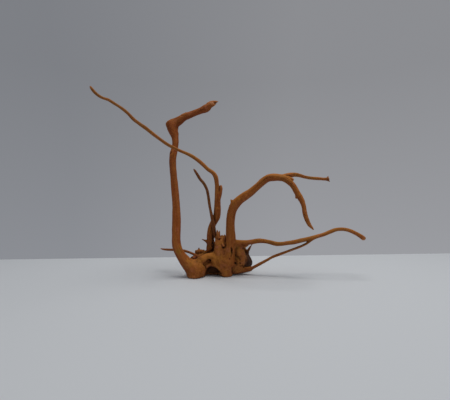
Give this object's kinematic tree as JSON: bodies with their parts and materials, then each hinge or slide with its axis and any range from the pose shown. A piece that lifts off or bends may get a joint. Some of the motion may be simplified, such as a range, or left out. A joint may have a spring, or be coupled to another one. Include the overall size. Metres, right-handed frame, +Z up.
{
  "type": "dry root",
  "caption": "Dry, debarked root: a knotted stump with a hollow under it, standing on its worn feet, with long bent branches and thin roots reaching up and out.",
  "frame": {"origin": "centre of the bounding box's underside, on the surface that the feet stand on", "axes": "+X along the longest spread, towards the two roots that reach out low; -Y is the front, where the hollow under the stump opens; +Z up"},
  "size_m": [0.3844, 0.1263, 0.2716],
  "materials": {
    "wood": "dry, debarked, matt, with long grain and dark crevices"
  },
  "bodies": {
    "root": {"dry_root": "wood"}
  },
  "joints": []
}
